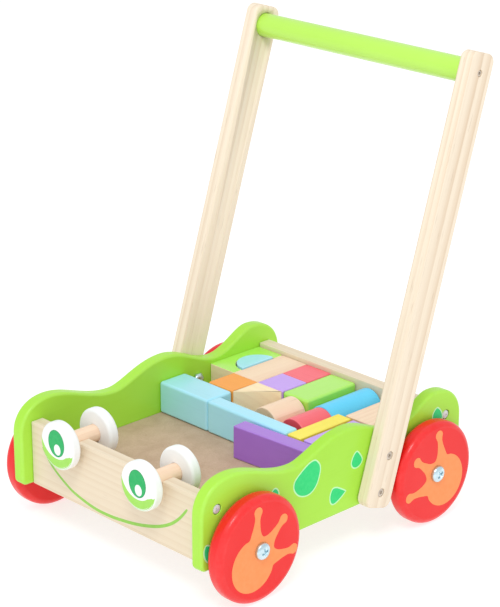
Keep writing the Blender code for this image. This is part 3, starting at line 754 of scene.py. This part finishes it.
def boards():
    for name in ("front_board", "rear_board"):
        place = front_plane((0, centre(name).y, 0))
        mesh = rounded_plate(name, [board_outline(name)], size(name).y, BOARD_EDGE, place)
        stand_for(name, mesh, "x")
    name = "floor_board"
    low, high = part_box(name)
    outline = filleted(rectangle(*low[:2], *high[:2]), 2 * HARDBOARD_EDGE, 2)
    place = level_plane(centre(name).z)
    stand_for(name, rounded_plate(name, [outline], size(name).z, HARDBOARD_EDGE, place, 2), "x")


def smile():
    """A printed line of even width with softened ends."""
    line = flowing(metres(SMILE), 5, closed=False)
    last = len(line) - 1
    upper, lower = [], []
    for i, (x, z) in enumerate(line):
        before, after = line[max(i - 1, 0)], line[min(i + 1, last)]
        normal = Vector((before[1] - after[1], after[0] - before[0])).normalized()
        half = SMILE_WIDTH / 2 * (0.45 + 0.55 * sin(pi * i / last) ** 0.25)
        upper.append((x + normal.x * half, z + normal.y * half))
        lower.append((x - normal.x * half, z - normal.y * half))
    face = front_plane((0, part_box("front_board")[0][1], 0))
    add_piece("print_smile", print_plate("smile", [lower + upper[::-1]], face), SMILE_PRINT, "frame")


# ---- handle ----
POST_DIRECTION = Vector((0, sin(POST_LEAN), cos(POST_LEAN)))
POST_ACROSS = Vector((0, cos(POST_LEAN), -sin(POST_LEAN)))
POST_WIDTH = 0.0334
POST_LENGTH = 0.4222
POST_BOLT_HEAD, BAR_BOLT_HEAD = 0.0041, 0.0030
POST_HOLES = (POST_BOLT_HEAD + 0.0002, POST_BOLT_HEAD + 0.0002, BAR_BOLT_HEAD + 0.0003)
SOCKET_GAP, SOCKET_DEPTH = 0.0007, 0.002    # the shallow hollow in each post round the bar's end
BAR_EDGE = 0.0008


def post_stations(side):
    """How far along the post its bolts are, from its middle."""
    middle = centre("handle_post_" + side)
    names = ("post_bolt_lower_", "post_bolt_upper_", "bar_bolt_")
    return [(centre(name + side) - middle).dot(POST_DIRECTION) for name in names]


def handle():
    half_w, half_l = POST_WIDTH / 2, POST_LENGTH / 2
    outline = filleted(rectangle(-half_w, -half_l, half_w, half_l), POST_CORNER, 8)
    edges = (POST_EDGE, HOLE_EDGE, HOLE_EDGE, HOLE_EDGE)
    socket = size("handle_bar").z / 2 + SOCKET_GAP
    for side, sign in SIDES:
        node = "handle_post_" + side
        middle = centre(node)
        place = plane(middle, POST_ACROSS * sign, POST_DIRECTION)
        holes = [circle((0, station), radius, 24, clockwise=True)
                 for station, radius in zip(post_stations(side), POST_HOLES)]
        mesh = rounded_plate(node, [outline] + holes, size(node).x, edges, place)
        inner = Vector((middle.x - sign * size(node).x / 2, *centre("handle_bar").yz))
        mesh = carve(mesh, disc("socket", socket, SOCKET_DEPTH * 2, outer_plane(sign, inner)))
        stand_for(node, mesh, "z", POST_LEAN)
    length, _, thick = size("handle_bar")
    profile = rod(thick / 2, length / 2, BAR_EDGE, 3)
    place = plane(centre("handle_bar"), (0, 1, 0), (0, 0, 1))
    stand_for("handle_bar", turned("handle_bar", profile, 64, place, closed=False), "x", 0.0, True)


# ---- wheels ----
FOOT_PRINT = printed("foot_print", linear(255, 152, 88), 0.32)
FOOT_CENTRE = (-0.0099, -0.0109)
FOOT_HEEL = 0.0253
FOOT_TOES = (82.8, 41.5, -0.5)          # directions of the three toes from the heel's middle, degrees
TOE_GAP, TOE_FLARE = 20.8, 17
# half of a toe: distances from the heel's middle and half widths at its root and neck, then its round pad
TOE_ROOT, TOE_NECK = (0.0296, 0.0056), (0.0420, 0.0031)
TOE_WAIST = ((TOE_ROOT[0] + TOE_NECK[0]) / 2, (TOE_ROOT[1] + TOE_NECK[1]) / 2 - 0.0004)
PAD_CENTRE, PAD_RADIUS = (0.0486, 0), 0.0048
VALLEY = 0.0266
REAR_FOOT_CENTRE = (0.0112, -0.0098)    # the rear wheels stand turned, and are printed less exactly
REAR_TURN = radians(101.5)


def foot_outline():
    """A splayed foot about its heel's middle: a round heel with three toes that end in round pads."""
    half = (TOE_ROOT, TOE_WAIST, TOE_NECK)
    toe = [(along, -across) for along, across in half]
    toe += arc(PAD_CENTRE, PAD_RADIUS, -125, 125, 8) + list(reversed(half))
    points = []
    for direction in reversed(FOOT_TOES):
        points += [moved(point, radians(direction)) for point in toe]
        if direction != FOOT_TOES[0]:
            points.append(moved((VALLEY, 0.0), radians(direction + TOE_GAP)))
    points += arc((0, 0), FOOT_HEEL, FOOT_TOES[0] + TOE_FLARE, FOOT_TOES[2] + 360 - TOE_FLARE, 22)
    return flowing(points, 4)


def wheels():
    half, _, radius = size("wheel_front_right") / 2
    shape = foot_outline()
    hole = circle((0, 0), WHEEL_BORE + PRINT_GAP, 24, clockwise=True)
    for end in ENDS:
        for side, sign in SIDES:
            node = "wheel_%s_%s" % (end, side)
            middle = centre(node)
            middle.z = radius
            place = outer_plane(sign, middle)
            profile = [(WHEEL_BORE, half)] + rim(radius, half, WHEEL_EDGE, 8) + [(WHEEL_BORE, -half)]
            stand_for(node, turned(node, profile, 96, place), "z", 0.0, True)
            turn, heel = (REAR_TURN, REAR_FOOT_CENTRE) if end == "rear" else (0.0, FOOT_CENTRE)
            outline = facing([moved(p, turn, heel) for p in shape], sign)
            face = outer_plane(sign, middle + Vector((sign * half, 0, 0)))
            add_piece("print_foot_%s_%s" % (end, side), print_plate("foot", [outline, hole], face),
                      FOOT_PRINT, BODY_OF[node])


# ---- fasteners ----
def slot_blade(reach, width, depth, place):
    """One blade of a cross-head recess: a flat bar that narrows downwards, open at the top."""
    bm = bmesh.new()
    bmesh.ops.create_cube(bm, size=2.0)
    for v in bm.verts:
        narrow = 0.45 if v.co.z < 0 else 1.0
        v.co = (v.co.x * reach * narrow, v.co.y * width / 2, v.co.z * depth)
    bm.transform(place)
    return finish_mesh(bm, "slot_blade")


def domed(radius, height, lip, count):
    """A screw head's profile from the axis out and down to its underside."""
    angles = [pi / 2 * i / count for i in range(count + 1)]
    return [(radius * sin(a), lip + (height - lip) * cos(a)) for a in angles] + [(radius, 0)]


AXLE_BOLT = dict(head=0.0078, height=0.0048, shank=0.0040, reach=0.0058, width=0.0022)
PANEL_SCREW = dict(head=0.0043, height=0.0018, shank=0.0020, reach=0.0026, width=0.0010,
               sink=SCREW_SINK, material=SOFT_ZINC)
AXLE_BOLT_TURNS, PANEL_SCREW_TURNS = (0.35, 1.1, 0.75, 0.15), (0.9, 0.5, 1.3, 0.6)    # radians


def fasteners():
    corners = [(end, side, sign) for end in ENDS for side, sign in SIDES]
    for (end, side, sign), bolt_turn, screw_turn in zip(corners, AXLE_BOLT_TURNS, PANEL_SCREW_TURNS):
        screw_piece("axle_bolt_%s_%s" % (end, side), sign, bolt_turn, **AXLE_BOLT)
        screw_piece("panel_screw_%s_%s" % (end, side), sign, screw_turn, **PANEL_SCREW)
        axle_nut("axle_nut_%s_%s" % (end, side), sign)
    for side, sign in SIDES:
        for name, head in (("post_bolt_lower_", POST_BOLT_HEAD), ("post_bolt_upper_", POST_BOLT_HEAD),
                           ("bar_bolt_", BAR_BOLT_HEAD)):
            socket_bolt(name + side, sign, head)
        for name in ("post_nut_lower_", "post_nut_upper_"):
            cap_nut(name + side, sign)


def screw_piece(node, sign, turn, head, height, shank, reach, width, sink=None, material=None):
    """A domed cross-head screw or bolt in place of a CAD one, its cross reach long and width wide.
    sink is how far its top lies below the surface that the CAD head stands on."""
    outer, inner = outer_and_inner(node, sign)
    base = outer - sign * (height if sink is None else 2 * height + sink)
    place = outer_plane(sign, (base, *centre(node).yz)) @ Matrix.Rotation(turn, 4, "Z")
    length = abs(base - inner)
    profile = domed(head, height, height * 0.35, 8) + [(shank, 0), (shank, -length), (0, -length)]
    mesh = turned(node, profile, 40, place, closed=False)
    for quarter_turn in (0.0, pi / 2):
        at = place @ Matrix.Translation((0, 0, height)) @ Matrix.Rotation(quarter_turn, 4, "Z")
        mesh = carve(mesh, slot_blade(reach, width, height * 0.45, at))
    stand_for(node, mesh, material=material)


def socket_bolt(node, sign, head):
    """A flat-headed bolt with a hexagon socket, sunk in its post, its zinc drawn darker and browner as
    painted shade of its hole.
    """
    outer, inner = outer_and_inner(node, sign)
    outer -= sign * SCREW_SINK
    place = outer_plane(sign, (outer, *centre(node).yz))
    edge, thick, shank, length, socket = 0.0005, 0.0022, 0.0028, abs(outer - inner), 0.0013
    profile = [(0, 0)] + arc((head - edge, -edge), edge, 90, 0, 3)
    profile += [(head, -thick), (shank, -thick), (shank, -length), (0, -length)]
    mesh = turned(node, profile, 36, place, closed=False)
    stand_for(node, carve(mesh, disc("socket", head / 2, 2 * socket, place, 6)), material=DULL_ZINC_PAINTED_SHADE)


def cap_nut(node, sign):
    """A domed nut on the panel's inner face: a round cap on a hexagon."""
    outer, inner = outer_and_inner(node, sign)
    height, radius, edge = abs(outer - inner), size(node).z / 2, 0.0003
    place = outer_plane(-sign, (outer, *centre(node).yz))
    hexagon = filleted(circle((0, 0), radius, 6), 0.0004, 2)
    up = place @ Matrix.Translation((0, 0, height / 4))
    stand_for(node, rounded_plate(node, [hexagon], height / 2, edge, up, 2))
    profile = domed(radius * 0.84, height, height * 0.45, 8) + [(0, 0)]
    cap = turned(node + "_cap", profile, 32, place, closed=False)
    add_piece("cap_of_" + node, cap, finish_of("zinc"), "frame")


def axle_nut(node, sign):
    """A flanged barrel nut let into the panel's inner face."""
    outer, inner = outer_and_inner(node, sign)
    place = outer_plane(-sign, (inner, *centre(node).yz))
    flange, plate, edge, barrel, bore, depth = 0.0090, 0.0014, 0.0006, 0.0053, 0.0043, abs(outer - inner)
    profile = ([(bore, -0.0002)] + arc((flange - edge, -edge), edge, 90, 0, 3)
               + [(flange, -plate), (barrel, -plate), (barrel, -depth), (bore, -depth)])
    stand_for(node, turned(node, profile, 40, place))


# ---- eyes ----
IRIS = printed("iris_print", linear(40, 180, 100))
IRIS_RIM = printed("iris_rim_print", linear(26, 146, 82))
EYE_WHITE = printed("eye_white_print", linear(246, 249, 249))
LID = printed("lid_print", linear(166, 226, 96))
IRIS_CENTRE, IRIS_RADII, IRIS_RIM_WIDTH = (0.0001, 0.0031), (0.0112, 0.0130), 0.0006
GLINT_OFFSET, GLINT_RADII = (0.0013, -0.0059), (0.0046, 0.0053)
LID_START, LID_END = 167, 350           # degrees round the disc, anticlockwise
LID_WIDTH, LID_MARGIN, LID_DEPTH = 0.0100, 0.0009, 0.0003


def disc_depth(r, radius):
    """How far behind the disc's front face its surface lies at that radius."""
    start = radius - EYE_EDGE
    if r <= start:
        return 0.0
    return EYE_EDGE - sqrt(max(0.0, EYE_EDGE ** 2 - (r - start) ** 2))


def lid_crescent(name, radius, place):
    """The printed lower lid: a crescent that follows the disc's rounded edge, thickest at the bottom."""
    spans, across = 40, 8
    start, end = radians(LID_START), radians(LID_END)
    outer = radius - LID_MARGIN
    bm = bmesh.new()
    rings = []
    for i in range(spans + 1):
        t = i / spans
        a = start + (end - start) * t
        fat = sin(pi * 0.86 * t ** 0.95) ** 0.8 * min(1.0, (1.0 - t) / 0.1) ** 0.5
        inner = outer - max(0.00005, LID_WIDTH * fat)
        front, back = [], []
        for k in range(across + 1):
            r = outer + (inner - outer) * k / across
            depth = disc_depth(r, radius)
            x, y = r * cos(a), r * sin(a)
            front.append(bm.verts.new((x, y, PRINT_RISE - depth)))
            back.append(bm.verts.new((x, y, -LID_DEPTH - depth)))
        rings.append(front + back[::-1])
    for ring, following in zip(rings, rings[1:]):
        for k in range(-1, len(ring) - 1):
            bm.faces.new((ring[k], following[k], following[k + 1], ring[k + 1]))
    for ring in (rings[0], rings[-1]):
        for k in range(across):
            bm.faces.new((ring[k], ring[k + 1], ring[-2 - k], ring[-1 - k]))
    bmesh.ops.recalc_face_normals(bm, faces=bm.faces[:])
    bm.transform(place)
    mesh = finish_mesh(bm, name)
    mesh.set_sharp_from_angle(angle=TURNED_SHARP)
    return mesh


def eyes():
    radius, axle = size("eye_front_disc_right").z / 2, size("eye_axle_right").z / 2
    half = size("eye_front_disc_right").y / 2 - PRINT_SINK
    socket, bottom = axle + AXLE_GAP, half * 0.1
    disc_profile = [(0, half)] + rim(radius, half, EYE_EDGE, 8)
    disc_profile += [(socket, -half), (socket, bottom), (0, bottom)]
    for side, _ in SIDES:
        for end in ENDS:
            node = "eye_%s_disc_%s" % (end, side)
            u = (1, 0, 0) if end == "front" else (-1, 0, 0)
            mesh = turned(node, disc_profile, 72, plane(centre(node), u, (0, 0, 1)), closed=False)
            stand_for(node, mesh, "x", 0.0, True)
        node = "eye_axle_" + side
        profile = rod(axle, size(node).y / 2, AXLE_EDGE, 2)
        mesh = turned(node, profile, 48, front_plane(centre(node)), closed=False)
        stand_for(node, mesh, "y", 0.0, True)
        eye_prints(side, radius, half)


def eye_prints(side, radius, half):
    body = BODY_OF["eye_front_disc_" + side]
    middle = centre("eye_front_disc_" + side)
    face = front_plane(middle + Vector((0, -half, 0)))
    glint = (IRIS_CENTRE[0] + GLINT_OFFSET[0], IRIS_CENTRE[1] + GLINT_OFFSET[1])
    inner = [r - IRIS_RIM_WIDTH for r in IRIS_RADII]
    layers = (("iris_rim", ellipse(IRIS_CENTRE, IRIS_RADII, 48), IRIS_RIM),
              ("iris", ellipse(IRIS_CENTRE, inner, 48), IRIS),
              ("glint", ellipse(glint, GLINT_RADII, 32), EYE_WHITE))
    add_prints(layers, face, "print_%s_" + side, body)
    add_piece("print_lid_" + side, lid_crescent("lid", radius, face), LID, body)


# ---- building blocks ----
PURPLE_TURN = radians(3.5)
SQUARE_BLOCKS = {
    "light_blue_long": "x", "light_blue_plank": "x", "natural_long": "y", "orange_cube": "x",
    "lilac_cube": "y", "red_cube": "x", "green_long": "y", "yellow_plank": "y", "lilac_plank": "y",
    "natural_long_side": "y",
}
# darker ends: end grain on the bare blocks, painted shade on the red cylinder
END_GRAIN_AND_SHADED_ENDS = {"natural_cylinder": END_GRAIN, "natural_long": END_GRAIN, "natural_long_side": END_GRAIN,
               "red_cylinder": CORAL_END_SHADE}


def square_blocks():
    for name, axis in SQUARE_BLOCKS.items():
        node = "block_" + name
        place = Matrix.Translation(centre(node))
        edge = SOFT_BLOCK_EDGE if name in SOFT_BLOCKS else BLOCK_EDGE
        block = stand_for(node, rounded_box(node, size(node), edge, place), axis)
        finish_ends(block, END_GRAIN_AND_SHADED_ENDS.get(name))
    node = "block_purple_plank"
    c, s = cos(PURPLE_TURN), sin(PURPLE_TURN)
    wide, deep, high = size(node)
    length = (wide * c - deep * s) / (c * c - s * s)
    thick = (deep * c - wide * s) / (c * c - s * s)
    place = Matrix.Translation(centre(node)) @ Matrix.Rotation(PURPLE_TURN, 4, "Z")
    stand_for(node, rounded_box(node, (length, thick, high), BLOCK_EDGE, place), "x")


def round_blocks():
    for name in ("natural_cylinder", "red_cylinder", "blue_cylinder"):
        node = "block_" + name
        profile = rod(size(node).z / 2, size(node).y / 2, BLOCK_EDGE, 4)
        place = front_plane(centre(node))
        block = stand_for(node, turned(node, profile, 72, place, closed=False), "y", 0.0, True)
        finish_ends(block, END_GRAIN_AND_SHADED_ENDS.get(name))


def finish_ends(block, material):
    """Gives the end faces of a block that lies fore and aft their own, darker finish, if it has one: end
    grain on the bare blocks, painted shade on the red cylinder.
    """
    if material:
        block.data.materials.append(material)
        for face in block.data.polygons:
            face.material_index = int(abs(face.normal.y) > 0.9)


def flat_block(node, outline, axis="y", sides=None):
    """A block cut from a board: its outline seen from above, and its sides' material where it differs."""
    place = level_plane(centre(node).z)
    obj = stand_for(node, rounded_plate(node, [outline], size(node).z, BLOCK_EDGE * 0.7, place), axis)
    if sides:
        obj.data.materials.append(sides)
        for face in obj.data.polygons:
            face.material_index = int(abs(face.normal.z) <= 0.6)
    return obj


ARCH_NOTCH = 0.0224
CUT_CORNER, NOTCH_TIP, HALF_ROUND_TIP, TRIANGLE_TIP = 0.0014, 0.0009, 0.0012, 0.0003


def cut_blocks():
    """The arch lying on its side, the half round in its notch, and the triangle."""
    low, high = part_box("block_green_arch")
    middle = (low[1] + high[1]) / 2
    box = filleted(rectangle(*low[:2], *high[:2]), CUT_CORNER, 4)
    half = len(box) // 2
    x, up, lip = high[0] - NOTCH_TIP, ARCH_NOTCH + NOTCH_TIP, NOTCH_TIP
    notch = arc((x, middle - up), lip, 0, 80, 3) + arc((high[0], middle), ARCH_NOTCH, 264, 96, 32)
    notch += arc((x, middle + up), lip, 280, 360, 3)
    # the arch's bare sides take the paler wood, painted light on their shade
    flat_block("block_green_arch", box[:half] + notch + box[half:], sides=PLAIN_WOOD_PAINTED_LIGHT)
    low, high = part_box("block_light_blue_half_round")
    middle, radius = (low[1] + high[1]) / 2, (high[1] - low[1]) / 2
    x, up, lip = high[0] - HALF_ROUND_TIP, radius - HALF_ROUND_TIP * 1.15, HALF_ROUND_TIP
    outline = arc((high[0], middle), radius, 97, 263, 32)
    outline += arc((x, middle - up), lip, 270, 360, 3) + arc((x, middle + up), lip, 0, 90, 3)
    flat_block("block_light_blue_half_round", outline)
    low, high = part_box("block_natural_triangle")
    corners = [(low[0], low[1], TRIANGLE_TIP), (high[0], high[1], TRIANGLE_TIP), (low[0], high[1])]
    triangle = flat_block("block_natural_triangle", filleted(corners, CUT_CORNER, 4), "x")
    # the triangle takes the same plain, paler wood
    triangle.data.materials[0] = PLAIN_WOOD_PAINTED_LIGHT


# ---- set, light and camera ----
CAMERA_AZIMUTH, CAMERA_ELEVATION = radians(45.99), radians(20.15)
CAMERA_DISTANCE = 1.9447
CAMERA_TARGET = Vector((0.0055, 0.0076, 0.2075))
CAMERA_LENS = 125.77
SKY, FLOOR_GLOW, KEY_POWER = 0.86, 0.72, 24.0
KEY_AZIMUTH, KEY_ELEVATION = radians(40), radians(52)
KEY_DISTANCE, KEY_WIDTH = 2.6, 0.9
AIR_COLOUR = (0.955, 0.98, 1.0)


def stand_back(name, data, azimuth, elevation, distance, target):
    """Puts a camera or lamp at a distance from a target and turns it towards it."""
    obj = linked(name, data)
    back = Vector((sin(azimuth) * cos(elevation), -cos(azimuth) * cos(elevation), sin(elevation)))
    obj.location = target + back * distance
    obj.rotation_euler = back.to_track_quat("Z", "Y").to_euler()
    return obj


def camera():
    data = bpy.data.cameras.new("camera")
    data.lens = CAMERA_LENS
    data.sensor_width = 36.0
    data.clip_start = 0.05
    data.clip_end = 60.0
    bpy.context.scene.camera = stand_back("camera", data, CAMERA_AZIMUTH, CAMERA_ELEVATION,
                                          CAMERA_DISTANCE, CAMERA_TARGET)


def key_lamp():
    data = bpy.data.lights.new("key", "AREA")
    data.shape = "DISK"
    data.size = KEY_WIDTH
    data.energy = KEY_POWER
    data.color = AIR_COLOUR
    stand_back("key", data, KEY_AZIMUTH, KEY_ELEVATION, KEY_DISTANCE, Vector((0, 0, 0.2)))


def studio():
    """A floor that glows a little, as a light table does, under a white sky and one soft lamp."""
    bm = bmesh.new()
    bmesh.ops.create_grid(bm, x_segments=1, y_segments=1, size=20.0)
    floor = linked("studio_floor", finish_mesh(bm, "studio_floor"))
    s = Shader("studio_paper")
    mottle = s.noise(s.along("x", 0.0, 1.0), 3.0, 2.0)
    s.set(color=s.mix(mottle, linear(170, 170, 170), linear(174, 174, 174)), roughness=0.9, specular=0.1)
    s.set(glow_colour=(1.0, 1.0, 1.0, 1.0), glow=FLOOR_GLOW)
    floor.data.materials.append(s.material)
    world = bpy.data.worlds.new("studio_air")
    world.use_nodes = True
    air = world.node_tree.nodes["Background"].inputs
    air["Color"].default_value = (*AIR_COLOUR, 1.0)
    air["Strength"].default_value = SKY
    bpy.context.scene.world = world
    key_lamp()
    bpy.context.scene.view_settings.view_transform = "Standard"


side_panels()
boards()
smile()
handle()
wheels()
fasteners()
eyes()
square_blocks()
round_blocks()
cut_blocks()
camera()
studio()

bpy.context.view_layer.update()
